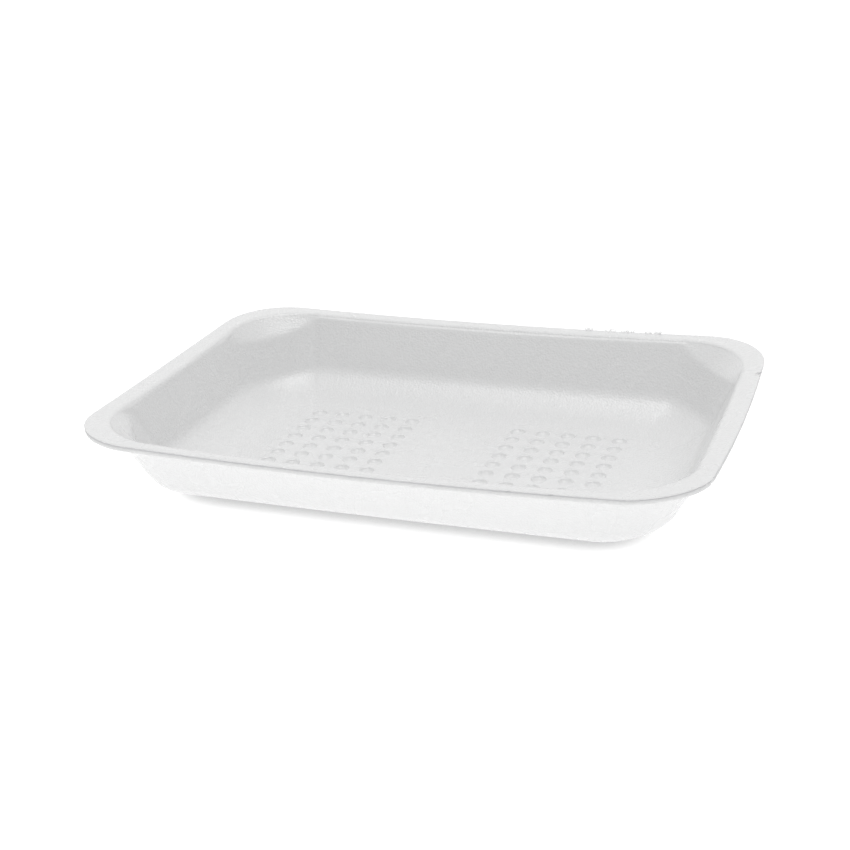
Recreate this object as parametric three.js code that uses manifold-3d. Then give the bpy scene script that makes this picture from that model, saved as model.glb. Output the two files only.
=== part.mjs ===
// A white foam supermarket tray: one thin moulded shell with sloped walls, a flat flange with a plain cut edge,
// a ledge that slopes across each inner corner and two fields of small round pits pressed into the floor.
// Millimetres, +Z up. The origin is on the table under the middle of the tray, and +X runs along it.
import * as THREE from "three";
import { mergeVertices } from "three/addons/utils/BufferGeometryUtils.js";
import Module from "manifold-3d";

// Rim outline. The corners stand highest, at 29.9 mm, and each side dips and bows outwards towards its middle.
// The rim level is where the undipped rim would lie.
const trayLength = 209.4;
const trayWidth = 144.5;
const rimLevel = 30.3;
const shortSideBow = 2.2;
const longSideBow = 0.8;
const shortSideDip = 2.0;
const longSideDip = 2.1;
const rimCornerRadius = 23;
const cutEdgeHeight = 1.8;

// Inner edge of the flange.
const flangeAtShortSide = 6.3;
const flangeAtLongSide = 4.5;
const flangeFall = 0.4;
const crestShortBow = 0.2;
const crestLongBow = 1.8;
const crestCornerRadius = 25;
const flangeRootOffset = 1.6;

// Shoulder, where a short steep step under the flange meets the wall. In the corners it drops to edge the ledge.
const shoulderInsetX = 1.9;
const shoulderInsetY = 1.4;
const shoulderFall = 0.7;
const shoulderExtraDip = 1.4;
const shoulderShortBow = 0.3;
const shoulderLongBow = 1.3;
const ledgeLegX = 26.3;
const ledgeLegY = 29.6;
const ledgeStraightness = 0.48;
const ledgeDrop = 5.5;

// Wall and floor.
const wallThickness = 2.8;
const floorThickness = 2.8;
const floorHalfLength = 69.5;
const floorHalfWidth = 35.5;
const floorCornerRadius = 7.5;
const bottomRadius = 28.5;
const legGrowth = 1.7;
const straightGrowth = 1.3;
const chordLegLoss = 0.4;

// Pits in the floor, in two fields.
const pitFieldCentre = 38.7;
const pitColumns = 5;
const pitRows = 9;
const pitPitchX = 9.25;
const pitPitchY = 7.53;
const pitRadius = 2.8;
const pitDepth = 1.0;
const pitBendRadius = 0.62;
const pitBendDepth = 0.8;
const pitClearance = 1;
const pitSides = 10;

// Facets round the shell.
const cornerSteps = 10;
const longSideSteps = 5;
const shortSideSteps = 4;
const curveSteps = 6;
const wallSteps = 2;

const foam = new THREE.MeshStandardMaterial({ color: 0xf1f2f2, roughness: 0.55, metalness: 0 });

const mix = (a, b, share) => a + (b - a) * share;

// How far a point of an outline belongs to the middle of a long side and of a short side, from 0 to 1.
function sideShares(x, y, ring) {
  const alongX = x / ring.halfLength;
  const alongY = y / ring.halfWidth;
  return {
    long: alongY ** 4 * Math.max(0, 1 - alongX ** 2),
    short: alongX ** 4 * Math.max(0, 1 - alongY ** 2),
  };
}

// One quarter of an outline, from the middle of the short side to the middle of the long side, each with the
// share of the corner that it has turned through. A corner lies between a round arc and its own chord.
function quarterOutline(ring) {
  const points = [];
  const cornerX = ring.halfLength - ring.legX;
  const cornerY = ring.halfWidth - ring.legY;
  for (let i = 0; i < shortSideSteps; i++) {
    points.push({ x: ring.halfLength, y: (cornerY * i) / shortSideSteps, turned: 0 });
  }
  for (let i = 0; i <= cornerSteps; i++) {
    const turned = i / cornerSteps;
    const angle = (turned * Math.PI) / 2;
    const arcX = cornerX + ring.legX * Math.cos(angle);
    const arcY = cornerY + ring.legY * Math.sin(angle);
    points.push({
      x: mix(arcX, ring.halfLength - ring.legX * turned, ring.straightness),
      y: mix(arcY, cornerY + ring.legY * turned, ring.straightness),
      turned,
    });
  }
  for (let i = 1; i <= longSideSteps; i++) {
    points.push({ x: cornerX * (1 - i / longSideSteps), y: ring.halfWidth, turned: 0 });
  }
  return points;
}

// The whole outline as a closed loop of points, anticlockwise from above, bowed and set at its own heights.
function outline(ring) {
  const quarter = quarterOutline(ring);
  const loop = [];
  for (const [signX, signY] of [[1, 1], [-1, 1], [-1, -1], [1, -1]]) {
    const ordered = signX * signY > 0 ? quarter : [...quarter].reverse();
    for (const { x, y, turned } of ordered.slice(0, -1)) {
      const shares = sideShares(x, y, ring);
      loop.push(new THREE.Vector3(
        signX * (x + ring.shortBow * shares.short),
        signY * (y + ring.longBow * shares.long),
        ring.heightAt(shares, turned),
      ));
    }
  }
  return loop;
}

// Outlines of the flange, which all follow the dips of the rim.
const rimHeight = (fall) => (shares) => rimLevel - fall - longSideDip * shares.long - shortSideDip * shares.short;

const rimOutline = (fall) => ({
  halfLength: trayLength / 2 - shortSideBow,
  halfWidth: trayWidth / 2 - longSideBow,
  legX: rimCornerRadius,
  legY: rimCornerRadius,
  straightness: 0,
  shortBow: shortSideBow,
  longBow: longSideBow,
  heightAt: rimHeight(fall),
});

const crestHalfLength = trayLength / 2 - flangeAtShortSide - crestShortBow;
const crestHalfWidth = trayWidth / 2 - flangeAtLongSide - crestLongBow;

const crestOutline = (outwards, fall) => ({
  halfLength: crestHalfLength + outwards,
  halfWidth: crestHalfWidth + outwards,
  legX: crestCornerRadius + outwards,
  legY: crestCornerRadius + outwards,
  straightness: 0,
  shortBow: crestShortBow,
  longBow: crestLongBow,
  heightAt: rimHeight(fall),
});

// Height of the shoulder: near the flange along the sides, and lowest in the middle of each corner's ledge.
function shoulderHeight(shares, turned) {
  const sides = (longSideDip + shoulderExtraDip) * shares.long + (shortSideDip + shoulderExtraDip) * shares.short;
  return rimLevel - shoulderFall - sides - ledgeDrop * 4 * turned * (1 - turned);
}

const shoulderHalfLength = crestHalfLength - shoulderInsetX;
const shoulderHalfWidth = crestHalfWidth - shoulderInsetY;
const shoulderAtSide = shoulderHeight({ long: 1, short: 0 }, 0);

// Profile of the wall at the middle of a long side: an arc that leaves the floor level, then a straight slope
// that touches it and ends at the shoulder. Each step has its share of the way out, its height and its slope.
function wallProfile() {
  const run = shoulderHalfWidth + shoulderLongBow - floorHalfWidth;
  const toShoulder = new THREE.Vector2(run, shoulderAtSide - floorThickness - bottomRadius);
  const straight = Math.sqrt(toShoulder.lengthSq() - bottomRadius ** 2);
  const slope = Math.atan2(toShoulder.y, toShoulder.x) + Math.atan2(bottomRadius, straight);
  const steps = [];
  for (let i = 0; i <= curveSteps; i++) {
    const angle = (slope * i) / curveSteps;
    const height = floorThickness + bottomRadius * (1 - Math.cos(angle));
    steps.push({ share: (bottomRadius * Math.sin(angle)) / run, height, angle });
  }
  const arcEnd = steps[steps.length - 1];
  for (let i = 1; i <= wallSteps; i++) {
    steps.push({
      share: mix(arcEnd.share, 1, i / wallSteps),
      height: mix(arcEnd.height, shoulderAtSide, i / wallSteps),
      angle: slope,
    });
  }
  return steps;
}

// The wall's outline at one step of the profile, moved out square to the slope by the given thickness.
function wallOutline({ share, height, angle }, thickness) {
  const outwards = thickness * Math.sin(angle);
  const straightness = ledgeStraightness * share ** straightGrowth;
  const legOutwards = outwards * (1 - chordLegLoss * straightness);
  const legShare = share ** legGrowth;
  const profileShare = (height - floorThickness) / (shoulderAtSide - floorThickness);
  return {
    halfLength: mix(floorHalfLength, shoulderHalfLength, share) + outwards,
    halfWidth: mix(floorHalfWidth, shoulderHalfWidth, share) + outwards,
    legX: mix(floorCornerRadius, ledgeLegX, legShare) + legOutwards,
    legY: mix(floorCornerRadius, ledgeLegY, legShare) + legOutwards,
    straightness,
    shortBow: shoulderShortBow * share,
    longBow: shoulderLongBow * share,
    heightAt: (shares, turned) =>
      mix(floorThickness, shoulderHeight(shares, turned), profileShare) - thickness * Math.cos(angle),
  };
}

// The shell as one closed skin: from the middle of the underside out and up the outside, over the flange and
// down the inside to the middle of the floor.
function shellGeometry() {
  const steps = wallProfile();
  const outside = steps.map((step) => wallOutline(step, wallThickness));
  const inside = steps.map((step) => wallOutline(step, 0)).reverse();
  const rings = [
    ...outside,
    crestOutline(flangeRootOffset, cutEdgeHeight),
    rimOutline(cutEdgeHeight),
    rimOutline(0),
    crestOutline(0, flangeFall),
    ...inside,
  ].map(outline);
  const around = rings[0].length;
  const positions = rings.flat().flatMap((point) => point.toArray());
  const undersideMiddle = positions.length / 3;
  const floorMiddle = undersideMiddle + 1;
  positions.push(0, 0, 0, 0, 0, floorThickness);
  const index = [];
  for (let ring = 0; ring < rings.length - 1; ring++) {
    for (let i = 0; i < around; i++) {
      const here = ring * around + i;
      const next = ring * around + ((i + 1) % around);
      index.push(here, next, next + around, here, next + around, here + around);
    }
  }
  const lastRing = (rings.length - 1) * around;
  for (let i = 0; i < around; i++) {
    const next = (i + 1) % around;
    index.push(undersideMiddle, next, i);
    index.push(floorMiddle, lastRing + i, lastRing + next);
  }
  const geometry = new THREE.BufferGeometry();
  geometry.setAttribute("position", new THREE.Float32BufferAttribute(positions, 3));
  geometry.setIndex(index);
  return geometry;
}

// The space of one pit: a shallow bowl turned about its own axis, with a straight top that clears the floor.
function pitGeometry() {
  const profile = [
    new THREE.Vector2(0, -pitDepth),
    new THREE.Vector2(pitRadius * pitBendRadius, -pitDepth * pitBendDepth),
    new THREE.Vector2(pitRadius, 0),
    new THREE.Vector2(pitRadius, pitClearance),
    new THREE.Vector2(0, pitClearance),
  ];
  const pit = new THREE.LatheGeometry(profile, pitSides);
  pit.rotateX(Math.PI / 2);
  return pit;
}

function pitCentres() {
  const centres = [];
  for (const side of [-1, 1]) {
    for (let column = 0; column < pitColumns; column++) {
      for (let row = 0; row < pitRows; row++) {
        centres.push(new THREE.Vector3(
          side * pitFieldCentre + (column - (pitColumns - 1) / 2) * pitPitchX,
          (row - (pitRows - 1) / 2) * pitPitchY,
          floorThickness,
        ));
      }
    }
  }
  return centres;
}

// Booleans on closed geometries.
const wasm = await Module();
wasm.setup();

function solidOf(geometry) {
  const bare = geometry.clone();
  bare.deleteAttribute("normal");
  bare.deleteAttribute("uv");
  const merged = mergeVertices(bare, 1e-4);
  return new wasm.Manifold(new wasm.Mesh({
    numProp: 3,
    vertProperties: new Float32Array(merged.getAttribute("position").array),
    triVerts: new Uint32Array(merged.getIndex().array),
  }));
}

function geometryOf(solid) {
  const mesh = solid.getMesh();
  const geometry = new THREE.BufferGeometry();
  geometry.setAttribute("position", new THREE.BufferAttribute(mesh.vertProperties, 3));
  geometry.setIndex(new THREE.BufferAttribute(mesh.triVerts, 1));
  geometry.computeVertexNormals();
  return geometry;
}

function trayGeometry() {
  const pit = pitGeometry();
  let tray = solidOf(shellGeometry());
  for (const centre of pitCentres()) {
    tray = tray.subtract(solidOf(pit.clone().translate(centre.x, centre.y, centre.z)));
  }
  return geometryOf(tray);
}

const foamTray = new THREE.Group();
const tray = new THREE.Mesh(trayGeometry(), foam);
tray.name = "tray";
foamTray.add(tray);

export default foamTray;
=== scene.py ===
import math
import random

import bpy
import numpy as np
from mathutils import Matrix, Vector


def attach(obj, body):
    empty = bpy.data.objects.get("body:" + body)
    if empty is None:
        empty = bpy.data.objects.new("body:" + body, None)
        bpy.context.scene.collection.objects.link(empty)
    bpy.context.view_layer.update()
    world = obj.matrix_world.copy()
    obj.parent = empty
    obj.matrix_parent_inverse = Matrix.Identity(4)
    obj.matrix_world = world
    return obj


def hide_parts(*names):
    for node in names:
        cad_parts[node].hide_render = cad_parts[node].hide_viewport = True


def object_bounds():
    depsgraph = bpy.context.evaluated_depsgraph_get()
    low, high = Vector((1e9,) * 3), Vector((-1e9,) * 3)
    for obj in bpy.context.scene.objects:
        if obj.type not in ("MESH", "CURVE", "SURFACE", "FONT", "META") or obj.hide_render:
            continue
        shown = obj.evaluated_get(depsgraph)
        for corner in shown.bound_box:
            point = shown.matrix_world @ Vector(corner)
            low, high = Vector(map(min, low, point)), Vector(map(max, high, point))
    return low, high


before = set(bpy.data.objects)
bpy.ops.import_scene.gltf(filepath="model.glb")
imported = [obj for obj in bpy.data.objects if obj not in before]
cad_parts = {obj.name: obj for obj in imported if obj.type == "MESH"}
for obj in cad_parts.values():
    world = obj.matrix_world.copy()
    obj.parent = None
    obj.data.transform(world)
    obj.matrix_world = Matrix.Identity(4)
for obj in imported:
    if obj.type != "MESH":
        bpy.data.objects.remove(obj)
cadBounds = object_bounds()
cadLow, cadHigh = (Vector(corner) for corner in cadBounds)
mm = 0.001
print("foam tray: frame loaded")


# Sizes of the moulded shell. The corners of the rim stand highest, and each side dips towards its middle.
# A bow is how far a side swells out in its middle, and a leg is how far a corner reaches along its sides.
shell = {
    "length": cadHigh.x - cadLow.x,  # 209.4 mm
    "width": cadHigh.y - cadLow.y,  # 144.5 mm
    "rimLevel": 30.3 * mm,
    "shortSideBow": 2.2 * mm,
    "longSideBow": 0.8 * mm,
    "shortSideDip": 2.0 * mm,
    "longSideDip": 2.1 * mm,
    "rimCornerRadius": 23 * mm,
    "flangeAtShortSide": 6.3 * mm,
    "flangeAtLongSide": 4.5 * mm,
    "flangeFall": 0.4 * mm,
    "crestShortBow": 0.2 * mm,
    "crestLongBow": 1.8 * mm,
    "crestCornerRadius": 25 * mm,
    "flangeRootOffset": 1.6 * mm,
    "stepInsetX": 1.2 * mm,  # short steep step under the flange, all the way round
    "stepInsetY": 0.6 * mm,
    "stepDrop": 0.8 * mm,
    "shoulderInsetX": 1.8 * mm,
    "shoulderInsetY": 1.4 * mm,
    "shoulderFall": 0.7 * mm,
    "shoulderLongDip": 0.9 * mm,
    "shoulderShortDip": 1.7 * mm,
    "shoulderShortBow": 0.3 * mm,
    "shoulderLongBow": 1.7 * mm,
    "ledgeLegX": 26.3 * mm,
    "ledgeLegY": 29.6 * mm,
    "ledgeStraightness": 0.48,
    "ledgeDrop": 5.5 * mm,
    "floorThickness": 2.8 * mm,
    "floorHalfLength": 70 * mm,
    "floorHalfWidth": 34 * mm,
    "floorLegX": 12 * mm,
    "floorLegY": 15 * mm,
    "floorMargin": 0.4 * mm,
    "floorRise": (41 * mm, math.radians(29), 10 * mm),  # wide curve, its last slope, tight bend into the wall
    "baseHalfLength": 70 * mm,
    "baseHalfWidth": 32 * mm,
    "baseLeg": 10 * mm,
    "baseRise": (44.8 * mm, math.radians(30.5), 9 * mm),
    "bendHalfLength": 87.8 * mm,  # outside, where the wide curve ends
    "bendLegX": 19 * mm,
    "bendLegY": 23.5 * mm,
    "bendShortBow": 0.45 * mm,
    "rootHalfLength": 99.1 * mm,  # outside, top of the straight wall
    "rootHalfWidth": 66.4 * mm,
    "rootLegX": 31 * mm,
    "rootLegY": 28.6 * mm,
    "rootLevel": 26.9 * mm,
    "waviness": 0.06 * mm,
    "waveLength": 2.6 * mm,
    "legGrowth": 1.5,  # above 1, the corners widen late on the way up the wall
    "straightGrowth": 1.3,
    "sharpAngle": 50,  # degrees, above which an edge is shaded sharp
}

# The cut round the flange. Its upper part stands upright under the skin's lip, and the rest slants in.
cutEdge = {
    "height": 2.1 * mm,
    "upright": 0.6 * mm,
    "slant": 0.25 * mm,
    "lipThickness": 0.22 * mm,
    "lipOverhang": 0.16 * mm,
    "lipRounding": 0.1 * mm,
    "footRounding": 0.12 * mm,
}

# How softly the shell bends at each edge: how far the curve reaches towards the rings before and after it.
softness = {
    "wallTop": (0.2, 0.25),
    "flangeRoot": (0.3, 0.25),
    "crest": (0.474, 0.8),
    "step": (0.35, 0.45),
    "ledge": (0.3, 0.5),
}

# Two fields of small round pits pressed into the floor.
pits = {
    "fieldCentre": 38.7 * mm,
    "columns": 5,
    "rows": 9,
    "pitchX": 9.25 * mm,
    "pitchY": 7.53 * mm,
    "radius": 2.7 * mm,
    "depth": 0.95 * mm,
    "steepness": 4.0,  # higher gives a steeper side and a wider level bottom
    "crowding": 1.3,  # above 1, the rings of the bowl crowd together at its lip
    "collar": 0.4 * mm,  # band round the pit, with a low bead on it
    "bead": 0.05 * mm,
    "sides": 28,
    "rings": 10,
    "collarRings": 2,
}

# What cutting and handling did to the edge: how ragged the cut is, and where it was knocked.
wear = {
    "raggedness": 0.13 * mm,
    "raggedLength": 2.4 * mm,
    "knocks": (  # place, push and reach, all in mm
        ((104.1, 39.3, 28.8), (-1.5, 0.2, -0.9), 2.0),
        ((104.3, 36.6, 28.6), (-0.6, 0.0, -0.2), 1.3),
        ((48.3, -72.0, 28.4), (0.0, 0.5, -0.2), 1.0),
        ((61.0, -71.9, 28.8), (0.1, 0.6, -0.2), 1.2),
        ((101.6, -58.8, 28.6), (-0.5, 0.4, 0.2), 1.6),
        ((103.1, -54.6, 28.2), (-0.6, 0.3, 0.5), 1.5),
        ((103.8, -50.4, 28.0), (-0.6, 0.1, 0.6), 1.8),
        ((99.8, 46.4, 29.9), (0.0, 0.0, -0.25), 1.6),
    ),
}

# How finely the shell is divided: faces in a quarter of the way round, then rings in each part of the wall.
netting = {
    "shortSide": 36,
    "corner": 36,
    "longSide": 72,
    "rimRefinement": 3,
    "curve": 14,
    "bend": 8,
    "straightWall": 7,
    "rounding": 5,
    "acrossFlange": (0.3, 0.5, 0.7),  # where rings lie between the rim and the crest
    "belowStep": (0.53, 0.62),  # and between the step's foot and the ledge
    "weldReach": 0.01 * mm,
}

# What makes one ring of the shell, and what each point keeps of its place along the ring.
ringKeys = (
    "halfLength", "halfWidth", "legX", "legY", "straightness",
    "shortBow", "longBow", "level", "dipShare", "wallShare", "grooveShare", "cutShare",
)
stationKeys = ("signX", "signY", "alongX", "alongY", "turned")


class NodeNumber:
    # A number inside a node tree. Plain sums on it add Math nodes.
    def __init__(self, tree, socket):
        self.tree = tree
        self.socket = socket

    def math(self, operation, *others):
        node = self.tree.nodes.new("ShaderNodeMath")
        node.operation = operation
        for value, slot in zip((self, *others), node.inputs):
            plug(self.tree, value, slot)
        return NodeNumber(self.tree, node.outputs[0])

    def __add__(self, other):
        return self.math("ADD", other)

    def __sub__(self, other):
        return self.math("SUBTRACT", other)

    def __rsub__(self, other):
        return self.math("MULTIPLY_ADD", -1.0, other)

    def __mul__(self, other):
        return self.math("MULTIPLY", other)

    def __truediv__(self, other):
        return self.math("DIVIDE", other)

    def __pow__(self, other):
        return self.math("POWER", other)

    __radd__ = __add__
    __rmul__ = __mul__

    def mixedTo(self, other, share):
        return self + (other - self) * share


def plug(tree, value, slot):
    if isinstance(value, NodeNumber):
        value = value.socket
    if isinstance(value, bpy.types.NodeSocket):
        tree.links.new(value, slot)
    else:
        slot.default_value = value


def addNode(tree, kind, inputs=None, **settings):
    node = tree.nodes.new(kind)
    for name, value in settings.items():
        setattr(node, name, value)
    for key, value in (inputs or {}).items():
        plug(tree, value, node.inputs[key])
    return node


def fromNode(tree, kind, inputs=None, **settings):
    # The first output of a new node
    return addNode(tree, kind, inputs, **settings).outputs[0]


def newGeometryTree(name, inputs):
    # inputs: {"Name in the tree": value}; whole numbers become integer sockets
    tree = bpy.data.node_groups.new(name, "GeometryNodeTree")
    tree.interface.new_socket(name="Geometry", in_out="INPUT", socket_type="NodeSocketGeometry")
    tree.interface.new_socket(name="Geometry", in_out="OUTPUT", socket_type="NodeSocketGeometry")
    settings = {}
    for label, value in inputs.items():
        kind = "NodeSocketInt" if isinstance(value, int) else "NodeSocketFloat"
        socket = tree.interface.new_socket(name=label, in_out="INPUT", socket_type=kind)
        socket.default_value = value
        settings[socket.identifier] = value
    groupIn = addNode(tree, "NodeGroupInput")
    sizes = {label: NodeNumber(tree, groupIn.outputs[label]) for label in inputs}
    return tree, groupIn.outputs["Geometry"], sizes, settings


def named(tree, name):
    # The number that each point keeps under this name
    node = addNode(tree, "GeometryNodeInputNamedAttribute", {"Name": name}, data_type="FLOAT")
    return NodeNumber(tree, next(out for out in node.outputs if out.enabled))


def splitVector(tree, socket):
    node = addNode(tree, "ShaderNodeSeparateXYZ", {0: socket})
    return [NodeNumber(tree, out) for out in node.outputs]


def joinVector(tree, x, y, z):
    return fromNode(tree, "ShaderNodeCombineXYZ", {0: x, 1: y, 2: z})


def joined(tree, *parts):
    node = addNode(tree, "GeometryNodeJoinGeometry")
    for part in parts:
        tree.links.new(part, node.inputs[0])
    return node.outputs[0]


def bakeTree(piece, tree, settings):
    modifier = piece.modifiers.new(tree.name, "NODES")
    modifier.node_group = tree
    for identifier, value in settings.items():
        modifier[identifier] = value
    graph = bpy.context.evaluated_depsgraph_get()
    made = bpy.data.meshes.new_from_object(
        piece.evaluated_get(graph), preserve_all_data_layers=True, depsgraph=graph
    )
    piece.modifiers.remove(modifier)
    made.name = piece.name
    piece.data = made
    return made


# Rings of the shell. Each is one row of ringKeys, so rings can be mixed as plain arrays.
def ringOf(**values):
    return np.array([values.get(key, 0.0) for key in ringKeys])


def rimRing(inset, fall, cutShare=0.0, grooveShare=0.0):
    # The two shares say how much of the cut's finish, and of the painted shade in its groove, the ring takes
    return ringOf(
        halfLength=shell["length"] / 2 - shell["shortSideBow"] - inset,
        halfWidth=shell["width"] / 2 - shell["longSideBow"] - inset,
        legX=shell["rimCornerRadius"] - inset,
        legY=shell["rimCornerRadius"] - inset,
        shortBow=shell["shortSideBow"],
        longBow=shell["longSideBow"],
        level=shell["rimLevel"] - fall,
        dipShare=1.0,
        grooveShare=grooveShare,
        cutShare=cutShare,
    )


crestHalfLength = shell["length"] / 2 - shell["flangeAtShortSide"] - shell["crestShortBow"]
crestHalfWidth = shell["width"] / 2 - shell["flangeAtLongSide"] - shell["crestLongBow"]
shoulderHalfLength = crestHalfLength - shell["shoulderInsetX"]
shoulderHalfWidth = crestHalfWidth - shell["shoulderInsetY"]
shoulderLevel = shell["rimLevel"] - shell["shoulderFall"]
shoulderAtSide = shoulderLevel - shell["longSideDip"] - shell["shoulderLongDip"]


def crestRing(outwards, fall, outwardsX=None):
    # outwardsX, where given, is how far out it lies at the short sides
    return ringOf(
        halfLength=crestHalfLength + (outwards if outwardsX is None else outwardsX),
        halfWidth=crestHalfWidth + outwards,
        legX=shell["crestCornerRadius"] + outwards,
        legY=shell["crestCornerRadius"] + outwards,
        shortBow=shell["crestShortBow"],
        longBow=shell["crestLongBow"],
        level=shell["rimLevel"] - fall,
        dipShare=1.0,
    )


def mixed(low, high, share):
    return low + (high - low) * share


def wallRing(y, height):
    # Inside of the wall, by how far out and how high it is at the middle of a long side
    wallReach = shoulderHalfWidth + shell["shoulderLongBow"] - shell["floorHalfWidth"]
    share = (y - shell["floorHalfWidth"]) / wallReach
    legShare = share ** shell["legGrowth"]
    heightShare = (height - shell["floorThickness"]) / (shoulderAtSide - shell["floorThickness"])
    return ringOf(
        halfLength=mixed(shell["floorHalfLength"], shoulderHalfLength, share),
        halfWidth=mixed(shell["floorHalfWidth"], shoulderHalfWidth, share),
        legX=mixed(shell["floorLegX"], shell["ledgeLegX"], legShare),
        legY=mixed(shell["floorLegY"], shell["ledgeLegY"], legShare),
        straightness=shell["ledgeStraightness"] * share ** shell["straightGrowth"],
        shortBow=shell["shoulderShortBow"] * share,
        longBow=shell["shoulderLongBow"] * share,
        level=mixed(shell["floorThickness"], shoulderLevel, heightShare),
        dipShare=heightShare,
        wallShare=heightShare,
    )


def arcPoint(centre, radius, slope):
    # The point of a hollow arc where it rises at the given slope
    return centre + radius * np.array((math.sin(slope), -math.cos(slope)))


def risingProfile(start, end, rise):
    # Points (y, height): a wide curve that leaves start level, a tight bend, then a straight slope up to end.
    # The tight bend touches the wide curve on one side and the straight slope on the other.
    wideRadius, wideSlope, tightRadius = rise
    y, height = start
    wideCentre = np.array((y, height + wideRadius))
    tightCentre = arcPoint(wideCentre, wideRadius - tightRadius, wideSlope)
    toEnd = end - tightCentre
    lastSlope = math.atan2(toEnd[1], toEnd[0]) + math.asin(tightRadius / math.hypot(*toEnd))
    wideSlopes = np.linspace(0, wideSlope, netting["curve"], endpoint=False)
    tightSlopes = np.linspace(wideSlope, lastSlope, netting["bend"])
    points = [arcPoint(wideCentre, wideRadius, slope) for slope in wideSlopes]
    points += [arcPoint(tightCentre, tightRadius, slope) for slope in tightSlopes]
    bendEnd = points[-1]
    points += [mixed(bendEnd, end, part) for part in np.linspace(0, 1, netting["straightWall"] + 1)[1:]]
    return points


def insideRings():
    end = np.array((shoulderHalfWidth + shell["shoulderLongBow"], shoulderAtSide))
    profile = risingProfile((shell["floorHalfWidth"], shell["floorThickness"]), end, shell["floorRise"])
    rings = [wallRing(*point) for point in profile]
    # one more level ring, so that the filled floor is flat up to its edge
    margin = rings[0].copy()
    for key in ("halfLength", "halfWidth", "legX", "legY"):
        margin[ringKeys.index(key)] -= shell["floorMargin"]
    return [margin] + rings


def outsideRings():
    # From the edge of the flat underside to the ring where the wide curve ends, then up to the flange's root
    topAtSide = shell["rootHalfWidth"] + shell["crestLongBow"]
    end = np.array((topAtSide, shell["rootLevel"] - shell["longSideDip"]))
    wideRadius, wideSlope, _ = shell["baseRise"]
    bendY = shell["baseHalfWidth"] + wideRadius * math.sin(wideSlope)
    base = ringOf(
        halfLength=shell["baseHalfLength"], halfWidth=shell["baseHalfWidth"],
        legX=shell["baseLeg"], legY=shell["baseLeg"],
    )
    bend = ringOf(
        halfLength=shell["bendHalfLength"], halfWidth=bendY,
        legX=shell["bendLegX"], legY=shell["bendLegY"], shortBow=shell["bendShortBow"],
    )
    top = ringOf(
        halfLength=shell["rootHalfLength"], halfWidth=shell["rootHalfWidth"],
        legX=shell["rootLegX"], legY=shell["rootLegY"],
        shortBow=shell["crestShortBow"], longBow=shell["crestLongBow"],
    )
    levelKey, dipKey = ringKeys.index("level"), ringKeys.index("dipShare")
    rings = []
    for y, height in risingProfile((shell["baseHalfWidth"], 0), end, shell["baseRise"]):
        if y < bendY:
            ring = mixed(base, bend, (y - shell["baseHalfWidth"]) / (bendY - shell["baseHalfWidth"]))
        else:
            ring = mixed(bend, top, (y - bendY) / (topAtSide - bendY))
        ring[dipKey] = height / end[1]
        ring[levelKey] = height + ring[dipKey] * shell["longSideDip"]
        rings.append(ring)
    return rings


def roundedEdge(before, edge, after, bend):
    # A soft bend at an edge ring: a curve that touches the lines to its neighbours at the bend's two shares
    shareBefore, shareAfter = softness[bend]
    start = edge + (before - edge) * shareBefore
    end = edge + (after - edge) * shareAfter
    return [
        start * (1 - t) ** 2 + edge * 2 * t * (1 - t) + end * t ** 2
        for t in np.linspace(0, 1, netting["rounding"])
    ]


def cutRings():
    # Up the cut: its rounded foot, the slanted part, the upright part with its groove, and over the lip
    height, upright, slant = cutEdge["height"], cutEdge["upright"], cutEdge["slant"]
    lip, overhang, foot = cutEdge["lipThickness"], cutEdge["lipOverhang"], cutEdge["footRounding"]
    rounding = cutEdge["lipRounding"]
    return [
        rimRing(slant + 4 * foot, height),
        rimRing(slant + foot, height, 0.3),
        rimRing(slant, height - foot, 0.8),
        rimRing(slant / 2, mixed(height, upright, 0.4), 1),
        rimRing(slant / 4, upright * 1.25, 1),
        rimRing(overhang, upright, 1, 0.6),
        rimRing(overhang, lip * 1.5, 1, 1),
        rimRing(rounding / 2, lip, 1),
        rimRing(0, lip / 2, 0.9),
        rimRing(rounding, 0, 0.4),
        rimRing(rounding * 4, 0, 0.2),
        rimRing(rounding * 9, rounding / 5),
    ]


def shellRings():
    # From the underside of the floor out and up the outside, round the cut edge and down the inside.
    outside, inside = outsideRings(), insideRings()[::-1]
    underEdge = rimRing(cutEdge["slant"], cutEdge["height"])
    topEdge = rimRing(0, 0)
    root = crestRing(shell["flangeRootOffset"], cutEdge["height"])
    crest = crestRing(0, shell["flangeFall"])
    stepFoot = crestRing(-shell["stepInsetY"], shell["flangeFall"] + shell["stepDrop"], -shell["stepInsetX"])
    ledgeEdge, belowLedge = inside[0], inside[1]
    below = outside[:-1]
    below += roundedEdge(outside[-2], outside[-1], root, "wallTop")
    below += roundedEdge(outside[-1], root, underEdge, "flangeRoot")
    above = [mixed(topEdge, crest, part) for part in netting["acrossFlange"]]
    above += roundedEdge(above[-1], crest, stepFoot, "crest")
    above += roundedEdge(crest, stepFoot, ledgeEdge, "step")
    above += [mixed(stepFoot, ledgeEdge, part) for part in netting["belowStep"]]
    above += roundedEdge(stepFoot, ledgeEdge, belowLedge, "ledge")
    above += inside[1:]
    return below, cutRings(), above


def quarterStations(refinement):
    # (alongX, alongY, turned) from the middle of a short side, through the corner, to that of a long side
    count = {key: netting[key] * refinement for key in ("shortSide", "corner", "longSide")}
    stations = [(1, i / count["shortSide"], 0) for i in range(count["shortSide"])]
    stations += [(1, 1, i / count["corner"]) for i in range(count["corner"])]
    stations += [(1 - i / count["longSide"], 1, 1) for i in range(count["longSide"] + 1)]
    return np.array(stations)


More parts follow.
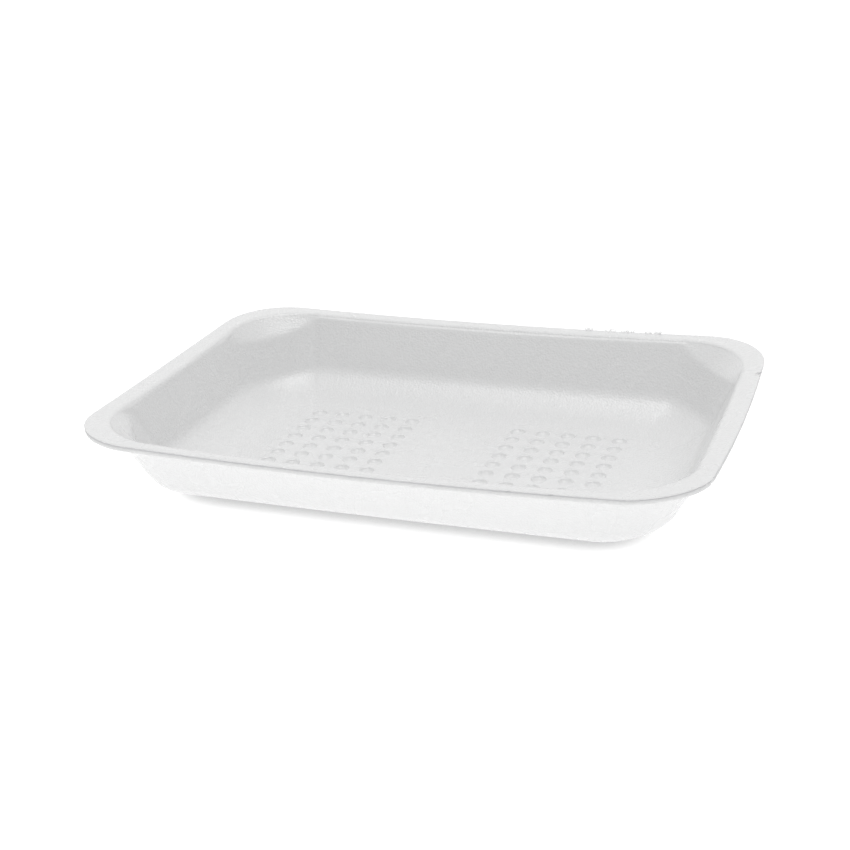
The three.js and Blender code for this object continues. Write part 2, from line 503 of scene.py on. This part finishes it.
def roundStations(refinement):
    # All four quarters, anticlockwise from above, each with the signs of its quarter
    quarter = quarterStations(refinement)
    rows = []
    for signX, signY in ((1, 1), (-1, 1), (-1, -1), (1, -1)):
        ordered = quarter if signX * signY > 0 else quarter[::-1]
        signs = np.tile((signX, signY), (len(ordered) - 1, 1))
        rows.append(np.hstack((signs, ordered[:-1])))
    return np.vstack(rows)


def writePoints(mesh, names, columns):
    for name, column in zip(names, columns.T):
        mesh.attributes.new(name, "FLOAT", "POINT").data.foreach_set("value", column.astype(np.float32))


def shellNet():
    # The faces of the shell, with every point still at the origin. Each point knows its ring and its station,
    # and the node tree works out its place from them.
    coarse, fine = roundStations(1), roundStations(netting["rimRefinement"])
    below, cut, above = shellRings()
    bands = [(ring, coarse) for ring in below]
    bands += [(ring, fine) for ring in cut]
    bands += [(ring, coarse) for ring in above]
    counts = [len(stations) for _, stations in bands]
    firsts = np.cumsum([0] + counts).tolist()
    faces = [list(range(counts[0]))[::-1]]  # the underside
    for low, high, lowCount, highCount in zip(firsts, firsts[1:], counts, counts[1:]):
        around = min(lowCount, highCount)
        lowStep, highStep = lowCount // around, highCount // around
        for i in range(around):
            lowSide = [low + (i * lowStep + k) % lowCount for k in range(lowStep + 1)]
            highSide = [high + (i * highStep + k) % highCount for k in range(highStep + 1)]
            faces.append(lowSide + highSide[::-1])
    mesh = bpy.data.meshes.new("trayShell")
    mesh.from_pydata(np.zeros((firsts[-1], 3)).tolist(), [], faces)
    writePoints(mesh, stationKeys, np.vstack([stations for _, stations in bands]))
    writePoints(mesh, ringKeys, np.vstack([np.tile(ring, (len(stations), 1)) for ring, stations in bands]))
    return mesh


def wander(tree, place, scale):
    # A smooth random number from -1 to 1, mostly near 0
    noise = fromNode(tree, "ShaderNodeTexNoise", {
        "Vector": joinVector(tree, *place), "Scale": scale, "Detail": 2.0,
    })
    return (NodeNumber(tree, noise) - 0.5) * 2


def placeOnRings(tree, geometry, sizes):
    # Each ring is a rounded rectangle, bowed and dipped at the sides. Its corners lie between arc and chord.
    at = {name: named(tree, name) for name in (*ringKeys, *stationKeys)}
    quarterTurn = at["turned"] * (math.pi / 2)
    midCorner = at["turned"] * (1 - at["turned"]) * 4
    straightness = at["straightness"] * (1 - (1 - midCorner) ** 2)  # a plain arc at the corner's ends
    cornerX = at["halfLength"] - at["legX"]
    cornerY = at["halfWidth"] - at["legY"]
    legPartX = quarterTurn.math("COSINE").mixedTo(1 - at["turned"], straightness)
    legPartY = quarterTurn.math("SINE").mixedTo(at["turned"], straightness)
    x = cornerX * at["alongX"] + at["legX"] * legPartX
    y = cornerY * at["alongY"] + at["legY"] * legPartY
    # how far each point belongs to the middle of a long side and of a short side, from 0 to 1
    alongLength, alongWidth = x / at["halfLength"], y / at["halfWidth"]
    longShare = (alongWidth ** 4) * (1 - alongLength * alongLength).math("MAXIMUM", 0)
    shortShare = (alongLength ** 4) * (1 - alongWidth * alongWidth).math("MAXIMUM", 0)
    rimDip = sizes["Long side dip"] * longShare + sizes["Short side dip"] * shortShare
    shoulderDip = sizes["Shoulder long dip"] * longShare + sizes["Shoulder short dip"] * shortShare
    wallDip = shoulderDip + sizes["Ledge drop"] * midCorner
    placeX = at["signX"] * (x + at["shortBow"] * shortShare)
    placeY = at["signY"] * (y + at["longBow"] * longShare)
    placeZ = at["level"] - at["dipShare"] * rimDip - at["wallShare"] * wallDip
    ragged = wander(tree, (placeX, placeY, 0.0), sizes["Ragged scale"]) * sizes["Raggedness"] * at["cutShare"]
    # the waves fade out down the wall, so the floor and the underside stay flat
    wave = wander(tree, (placeX, placeY, placeZ), sizes["Wave scale"]) * sizes["Waviness"] * at["dipShare"]
    place = joinVector(
        tree,
        placeX + at["signX"] * ragged * alongLength ** 6,
        placeY + at["signY"] * ragged * alongWidth ** 6,
        placeZ + wave,
    )
    return fromNode(tree, "GeometryNodeSetPosition", {"Geometry": geometry, "Position": place})


def pitPoints(tree, sizes):
    # Middles of the pits: one grid of points for each field
    columns, rows = sizes["Pit columns"], sizes["Pit rows"]
    grid = addNode(tree, "GeometryNodeMeshGrid", {
        "Size X": (columns - 1) * sizes["Pit pitch X"],
        "Size Y": (rows - 1) * sizes["Pit pitch Y"],
        "Vertices X": columns,
        "Vertices Y": rows,
    }).outputs["Mesh"]
    offset = sizes["Pit field centre"]
    return joined(tree, *(
        fromNode(tree, "GeometryNodeTransform", {
            "Geometry": grid, "Translation": joinVector(tree, offset * sign, 0.0, 0.0),
        })
        for sign in (1, -1)
    ))


def pitBowl(tree, sizes):
    # A grid rolled round into a bowl: along X it goes round, along Y from the rim of the collar to the middle
    grid = addNode(tree, "GeometryNodeMeshGrid", {
        "Size X": 1.0,
        "Size Y": 1.0,
        "Vertices X": sizes["Pit sides"] + 1,
        "Vertices Y": sizes["Pit rings"] + 1,
    }).outputs["Mesh"]
    across, inwards, _ = splitVector(tree, fromNode(tree, "GeometryNodeInputPosition"))
    angle = (across + 0.5) * (2 * math.pi)
    # onCollar goes from 1 to 0 over the collar's rings, then reach from 1 at the lip to 0 in the middle
    ringsIn = (inwards + 0.5) * sizes["Pit rings"]
    onCollar = (1 - ringsIn / sizes["Pit collar rings"]).math("MAXIMUM", 0.0)
    downBowl = (ringsIn - sizes["Pit collar rings"]) / (sizes["Pit rings"] - sizes["Pit collar rings"])
    reach = 1 - downBowl.math("MAXIMUM", 0.0) ** sizes["Pit crowding"]
    radius = reach * sizes["Pit radius"] + onCollar * sizes["Pit collar"]
    bowl = (reach ** sizes["Pit steepness"] - 1) * sizes["Pit depth"]
    bead = onCollar * (1 - onCollar) * 4 * sizes["Pit bead"]
    place = joinVector(tree, radius * angle.math("COSINE"), radius * angle.math("SINE"), bowl + bead)
    return fromNode(tree, "GeometryNodeSetPosition", {"Geometry": grid, "Position": place})


def pittedFloor(tree, shellGeometry, sizes):
    # The floor is filled in between the shell's inner edge and the rims of the pits, and each pit gets a bowl
    neighbours = fromNode(tree, "GeometryNodeInputMeshEdgeNeighbors")
    isOpen = NodeNumber(tree, neighbours).math("LESS_THAN", 1.5)
    outline = fromNode(tree, "GeometryNodeMeshToCurve", {"Mesh": shellGeometry, "Selection": isOpen})
    points = pitPoints(tree, sizes)
    circle = addNode(tree, "GeometryNodeCurvePrimitiveCircle", {
        "Resolution": sizes["Pit sides"], "Radius": sizes["Pit radius"] + sizes["Pit collar"],
    }).outputs["Curve"]
    circles = fromNode(tree, "GeometryNodeInstanceOnPoints", {"Points": points, "Instance": circle})
    rims = fromNode(tree, "GeometryNodeRealizeInstances", {"Geometry": circles})
    fill = fromNode(tree, "GeometryNodeFillCurve", {"Curve": joined(tree, outline, rims)})
    bowls = fromNode(tree, "GeometryNodeInstanceOnPoints", {
        "Points": points, "Instance": pitBowl(tree, sizes),
    })
    level = joinVector(tree, 0.0, 0.0, sizes["Floor thickness"])
    flat = fromNode(tree, "GeometryNodeTransform", {"Geometry": fill, "Translation": level})
    sunk = fromNode(tree, "GeometryNodeTransform", {"Geometry": bowls, "Translation": level})
    whole = joined(tree, shellGeometry, flat, sunk)
    real = fromNode(tree, "GeometryNodeRealizeInstances", {"Geometry": whole})
    return fromNode(tree, "GeometryNodeMergeByDistance", {"Geometry": real, "Distance": netting["weldReach"]})


def trayTree(materials):
    tree, geometry, sizes, settings = newGeometryTree("trayShellByRule", {
        "Long side dip": shell["longSideDip"],
        "Short side dip": shell["shortSideDip"],
        "Shoulder long dip": shell["shoulderLongDip"],
        "Shoulder short dip": shell["shoulderShortDip"],
        "Ledge drop": shell["ledgeDrop"],
        "Floor thickness": shell["floorThickness"],
        "Raggedness": wear["raggedness"],
        "Ragged scale": 1 / wear["raggedLength"],
        "Waviness": shell["waviness"],
        "Wave scale": 1 / shell["waveLength"],
        "Pit field centre": pits["fieldCentre"],
        "Pit columns": pits["columns"],
        "Pit rows": pits["rows"],
        "Pit pitch X": pits["pitchX"],
        "Pit pitch Y": pits["pitchY"],
        "Pit radius": pits["radius"],
        "Pit depth": pits["depth"],
        "Pit steepness": pits["steepness"],
        "Pit crowding": pits["crowding"],
        "Pit collar": pits["collar"],
        "Pit bead": pits["bead"],
        "Pit sides": pits["sides"],
        "Pit rings": pits["rings"],
        "Pit collar rings": pits["collarRings"],
    })
    placed = placeOnRings(tree, geometry, sizes)
    whole = pittedFloor(tree, placed, sizes)
    smooth = fromNode(tree, "GeometryNodeSetShadeSmooth", {"Geometry": whole})
    skinned = fromNode(tree, "GeometryNodeSetMaterial", {
        "Geometry": smooth, "Material": materials["skin"],
    })
    isCut = named(tree, "cutShare").math("GREATER_THAN", 0.5)
    finished = fromNode(tree, "GeometryNodeSetMaterial", {
        "Geometry": skinned, "Selection": isCut, "Material": materials["cut"],
    })
    addNode(tree, "NodeGroupOutput", {0: finished})
    return tree, settings


# What all the foam has in common.
foamGrain = {
    "grainScale": 0.6,  # the grain is a little coarser than the cells
    "grainRoughness": 0.6,
    "patchSize": 16.7 * mm,  # duller and glossier patches
    "cellShare": 0.6,  # how much of the relief comes from cells, and how much from grain
    "grainShare": 0.5,
}


# The foam's skin: fine closed cells under a faintly glossy film.
foamSkin = {
    "white": (0.82, 0.822, 0.822, 1),
    "shade": (0.79, 0.792, 0.794, 1),
    "cellSize": 0.8 * mm,
    "cellBump": 0.19 * mm,
    "bumpStrength": 0.8,
    "roughness": (0.2, 0.33),
    "seeThrough": (0.15, 0.6 * mm),  # share of the light that goes in, and how far
    "speckSpacing": 7 * mm,
    "speckSize": 0.17 * mm,
    "speckTint": (0.4, 0.39, 0.37, 1),
}


# The sheared edge of the flange: open cells, so duller and darker than the skin. The groove under the skin's
# lip is darker still, with painted shade.
cutFoam = {
    "white": (0.84, 0.842, 0.842, 1),
    "shade": (0.7, 0.702, 0.704, 1),
    "cellSize": 0.5 * mm,
    "cellBump": 0.09 * mm,
    "bumpStrength": 1.0,
    "roughness": (0.7, 0.85),
    "seeThrough": (0.15, 0.6 * mm),
    # painted shade: the groove under the skin's lip is darkened, as shade in that recess together with the
    # denser sheared foam there
    "grooveShadeTint": (0.54, 0.54, 0.55, 1),
}


# Thin shreds of foam, with a painted glow and a colour painted lighter than the skin, standing in for light
# that comes through them from behind.
shredFoam = {
    "white": (0.96, 0.962, 0.962, 1),
    "shade": (0.92, 0.922, 0.922, 1),
    "cellSize": 0.4 * mm,
    "cellBump": 0.03 * mm,
    "bumpStrength": 0.5,
    "roughness": (0.5, 0.6),
    "seeThrough": (0.0, 0.6 * mm),
    "glow": 0.16,
}


def newMaterial(name):
    material = bpy.data.materials.new(name)
    material.use_nodes = True
    tree = material.node_tree
    tree.nodes.clear()
    shader = addNode(tree, "ShaderNodeBsdfPrincipled")
    addNode(tree, "ShaderNodeOutputMaterial", {"Surface": shader.outputs[0]})
    return material, tree, shader


def tinted(tree, share, colour, tint):
    # sockets 0, 6 and 7 of this node are its share and its two colours, and output 2 is the mixed one
    return addNode(tree, "ShaderNodeMix", {0: share, 6: colour, 7: tint}, data_type="RGBA").outputs[2]


def foamMaterial(name, look):
    material, tree, shader = newMaterial(name)
    place = addNode(tree, "ShaderNodeTexCoord").outputs["Object"]
    cells = addNode(tree, "ShaderNodeTexVoronoi", {"Vector": place, "Scale": 1 / look["cellSize"]})
    grain = fromNode(tree, "ShaderNodeTexNoise", {
        "Vector": place, "Scale": foamGrain["grainScale"] / look["cellSize"],
        "Detail": 3.0, "Roughness": foamGrain["grainRoughness"],
    })
    patches = fromNode(tree, "ShaderNodeTexNoise", {
        "Vector": place, "Scale": 1 / foamGrain["patchSize"], "Detail": 2.0,
    })
    colour = tinted(tree, grain, look["shade"], look["white"])
    # painted shade: the colour darkens in the groove under the skin's lip, together with the denser sheared
    # foam there
    if "grooveShadeTint" in look:
        grooveShadeMask = addNode(tree, "ShaderNodeAttribute", attribute_name="grooveShare").outputs["Fac"]
        colour = tinted(tree, grooveShadeMask, colour, look["grooveShadeTint"])
    if "speckTint" in look:
        spots = addNode(tree, "ShaderNodeTexVoronoi", {"Vector": place, "Scale": 1 / look["speckSpacing"]})
        speck = fromNode(tree, "ShaderNodeMapRange", {
            "Value": spots.outputs["Distance"], "From Max": look["speckSize"] / look["speckSpacing"],
            "To Min": 1.0, "To Max": 0.0,
        })
        colour = tinted(tree, speck, colour, look["speckTint"])
    plug(tree, colour, shader.inputs["Base Color"])
    gloss = fromNode(tree, "ShaderNodeMapRange", {
        "Value": patches, "To Min": look["roughness"][0], "To Max": look["roughness"][1],
    })
    plug(tree, gloss, shader.inputs["Roughness"])
    relief = NodeNumber(tree, cells.outputs["Distance"]) * foamGrain["cellShare"]
    relief += NodeNumber(tree, grain) * foamGrain["grainShare"]
    bump = fromNode(tree, "ShaderNodeBump", {
        "Height": relief, "Distance": look["cellBump"], "Strength": look["bumpStrength"],
    })
    plug(tree, bump, shader.inputs["Normal"])
    share, depth = look["seeThrough"]
    shader.inputs["Subsurface Weight"].default_value = share
    shader.inputs["Subsurface Scale"].default_value = depth
    shader.inputs["Subsurface Radius"].default_value = (1, 1, 1)
    # the emission is a painted glow, which only the shreds have
    shader.inputs["Emission Strength"].default_value = look.get("glow", 0.0)
    return material


materials = {
    "skin": foamMaterial("foamSkin", foamSkin),
    "cut": foamMaterial("cutFoam", cutFoam),
    "shred": foamMaterial("shredFoam", shredFoam),
}


def knockEdge(mesh):
    # Pushes the points near each knock, most in its middle
    points = np.array([v.co for v in mesh.vertices])
    for place, push, reach in wear["knocks"]:
        away = np.linalg.norm(points - np.array(place) * mm, axis=1)
        share = np.clip(1 - away / (reach * mm), 0, 1) ** 1.5
        points += share[:, None] * np.array(push) * mm
    mesh.vertices.foreach_set("co", points.ravel().astype(np.float32))
    mesh.update()


def dropSpent(mesh):
    # The finished shell keeps only the attribute that the cut foam's material reads, which marks where shade
    # is painted in the groove
    for name in (*ringKeys, *stationKeys):
        if name != "grooveShare" and name in mesh.attributes:
            mesh.attributes.remove(mesh.attributes[name])


def newObject(name, data):
    made = bpy.data.objects.new(name, data)
    bpy.context.scene.collection.objects.link(made)
    return made


trayPiece = newObject("trayShell", shellNet())
trayMesh = bakeTree(trayPiece, *trayTree(materials))
dropSpent(trayMesh)
knockEdge(trayMesh)
trayMesh.set_sharp_from_angle(angle=math.radians(shell["sharpAngle"]))
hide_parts("tray")
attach(trayPiece, "root")
trayMesh.calc_loop_triangles()
print("foam tray: shell made,", len(trayMesh.loop_triangles), "triangles")


# Crumbs and curls of foam that the cutter left on the back edge.
crumbs = {
    "runs": (  # from x, to x, how many, size, all in mm
        (34.6, 36.9, 6, 1.5),
        (41.8, 42.8, 2, 0.8),
        (43.6, 53.0, 52, 0.6),
        (57.0, 59.7, 7, 0.9),
        (61.0, 63.0, 5, 1.25),
    ),
    "edgeY": 72.0 * mm,
    "jitter": 0.3 * mm,
    "lift": (-0.26 * mm, 0.78 * mm),  # lowest and highest above the rim
    "sizeSpread": (0.6, 1.1),
    "stretch": 1.6,
    "flatness": 0.8,
    "tilt": (0.5, 0.4),  # radians either way, about X and Y
    "lumpSize": 0.5 * mm,
    "lumpPush": 0.216 * mm,
    "seed": 11,
}


def crumbPoints():
    # One point for each crumb along the back edge, with its size
    chance = random.Random(crumbs["seed"])
    places, sizes = [], []
    for start, end, count, size in crumbs["runs"]:
        for _ in range(count):
            x = chance.uniform(start, end) * mm
            dip = shell["longSideDip"] * (1 - (2 * x / shell["length"]) ** 2)
            y = crumbs["edgeY"] + chance.uniform(-1, 1) * crumbs["jitter"]
            places.append((x, y, shell["rimLevel"] - dip + chance.uniform(*crumbs["lift"])))
            sizes.append(size * mm * chance.uniform(*crumbs["sizeSpread"]))
    mesh = bpy.data.meshes.new("foamCrumbs")
    mesh.from_pydata(places, [], [])
    mesh.attributes.new("size", "FLOAT", "POINT").data.foreach_set("value", sizes)
    return mesh


def crumbTree(material):
    tree, geometry, sizes, settings = newGeometryTree("foamCrumbsOnEdge", {
        "Stretch": crumbs["stretch"],
        "Flatness": crumbs["flatness"],
        "Lump scale": 1 / crumbs["lumpSize"],
        "Lump push": crumbs["lumpPush"],
        "Seed": crumbs["seed"],
    })
    tiltX, tiltY = crumbs["tilt"]
    grain = addNode(tree, "GeometryNodeMeshIcoSphere", {"Radius": 0.5, "Subdivisions": 2}).outputs["Mesh"]
    turn = fromNode(tree, "FunctionNodeRandomValue", {
        "Min": (-tiltX, -tiltY, 0.0), "Max": (tiltX, tiltY, 2 * math.pi), "Seed": sizes["Seed"],
    }, data_type="FLOAT_VECTOR")
    size = named(tree, "size")
    scattered = fromNode(tree, "GeometryNodeInstanceOnPoints", {
        "Points": geometry,
        "Instance": grain,
        "Rotation": turn,
        "Scale": joinVector(tree, size * sizes["Stretch"], size, size * sizes["Flatness"]),
    })
    real = fromNode(tree, "GeometryNodeRealizeInstances", {"Geometry": scattered})
    lumps = addNode(tree, "ShaderNodeTexNoise", {
        "Vector": fromNode(tree, "GeometryNodeInputPosition"), "Scale": sizes["Lump scale"],
    }).outputs["Color"]
    centred = fromNode(tree, "ShaderNodeVectorMath", {
        0: lumps, 1: (0.5, 0.5, 0.5),
    }, operation="SUBTRACT")
    push = fromNode(tree, "ShaderNodeVectorMath", {
        0: centred, "Scale": sizes["Lump push"],
    }, operation="SCALE")
    shaped = fromNode(tree, "GeometryNodeSetPosition", {"Geometry": real, "Offset": push})
    smooth = fromNode(tree, "GeometryNodeSetShadeSmooth", {"Geometry": shaped})
    finished = fromNode(tree, "GeometryNodeSetMaterial", {"Geometry": smooth, "Material": material})
    addNode(tree, "NodeGroupOutput", {0: finished})
    return tree, settings


crumbPiece = newObject("foamCrumbs", crumbPoints())
bakeTree(crumbPiece, *crumbTree(materials["shred"]))
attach(crumbPiece, "root")
print("foam tray: crumbs on the back edge made")


# A white table that glows a little, so that it burns out to white, and the softboxes round it, in metres and
# watts. Round the tray's foot the glow is held back by occlusion, which paints the contact shadow.
studio = {
    "tableSize": 12.0,
    "tableGlow": 0.76,
    "tableWhite": 0.5,
    "tableRoughness": 0.9,
    "world": 0.53,
    "softboxes": {  # name: size, place, power
        "overheadBox": ((1.8, 1.8), (0.05, 0.35, 3.0), 37.0),
        "frontFill": ((2.5, 2.5), (0.3, -3.0, 1.2), 6.8),
        "backCard": ((3.2, 1.1), (-0.55, 1.6, 0.72), 6.4),
    },
    "contactReach": 11 * mm,  # how far out the table's glow is held back round the tray's foot, painting its contact shadow
    "contactOpen": (0.05, 0.25),  # openness at which the glow is weakest, and where it is back in full
    "contactGlow": 0.38,
}


def makeTable():
    half = studio["tableSize"] / 2
    white = studio["tableWhite"]
    mesh = bpy.data.meshes.new("studioTable")
    corners = [(-half, -half, 0), (half, -half, 0), (half, half, 0), (-half, half, 0)]
    mesh.from_pydata(corners, [], [(0, 1, 2, 3)])
    table = newObject("studioTable", mesh)
    material, tree, shader = newMaterial("tableWhite")
    shader.inputs["Base Color"].default_value = (white, white, white, 1)
    shader.inputs["Roughness"].default_value = studio["tableRoughness"]
    shader.inputs["Emission Color"].default_value = (1, 1, 1, 1)
    # painted shadow: the table's glow is lowered where the tray's foot occludes it
    nearness = addNode(tree, "ShaderNodeAmbientOcclusion", {"Distance": studio["contactReach"]}, samples=16)
    weakest, full = studio["contactOpen"]
    glowWithPaintedShadow = fromNode(tree, "ShaderNodeMapRange", {
        "Value": nearness.outputs["AO"], "From Min": weakest, "From Max": full,
        "To Min": studio["contactGlow"] * studio["tableGlow"], "To Max": studio["tableGlow"],
    })
    plug(tree, glowWithPaintedShadow, shader.inputs["Emission Strength"])
    mesh.materials.append(material)


def makeSoftbox(name, size, place, power):
    light = bpy.data.lights.new(name, "AREA")
    light.shape = "RECTANGLE"
    light.size, light.size_y = size
    light.energy = power
    lamp = newObject(name, light)
    lamp.location = place
    lamp.rotation_euler = (-Vector(place)).to_track_quat("-Z", "Y").to_euler()  # aimed at the tray


def makeLights():
    world = bpy.data.worlds.new("studioWorld")
    bpy.context.scene.world = world
    world.use_nodes = True
    background = world.node_tree.nodes["Background"]
    background.inputs["Color"].default_value = (1, 1, 1, 1)
    background.inputs["Strength"].default_value = studio["world"]
    for name, (size, place, power) in studio["softboxes"].items():
        makeSoftbox(name, size, place, power)


# Camera of the photograph, solved from the rim and the pits. Its right and up are directions in the room.
view = {
    "place": (0.16857, -0.4505, 0.21241),
    "right": (0.93952, 0.33947, -0.04544),
    "up": (-0.08922, 0.37067, 0.92447),
    "lens": 64.235,
    "sensor": 36.0,
}


def makeCamera():
    camera = newObject("photoCamera", bpy.data.cameras.new("photoCamera"))
    right, up = Vector(view["right"]).normalized(), Vector(view["up"]).normalized()
    turn = Matrix((right, up, right.cross(up))).transposed().to_4x4()
    camera.matrix_world = Matrix.Translation(view["place"]) @ turn
    camera.data.lens = view["lens"]
    camera.data.sensor_width = view["sensor"]
    camera.data.clip_start = 0.01
    camera.data.clip_end = 50
    bpy.context.scene.camera = camera


makeTable()
makeLights()
makeCamera()
bpy.context.scene.view_settings.view_transform = "Standard"
print("foam tray: studio ready")
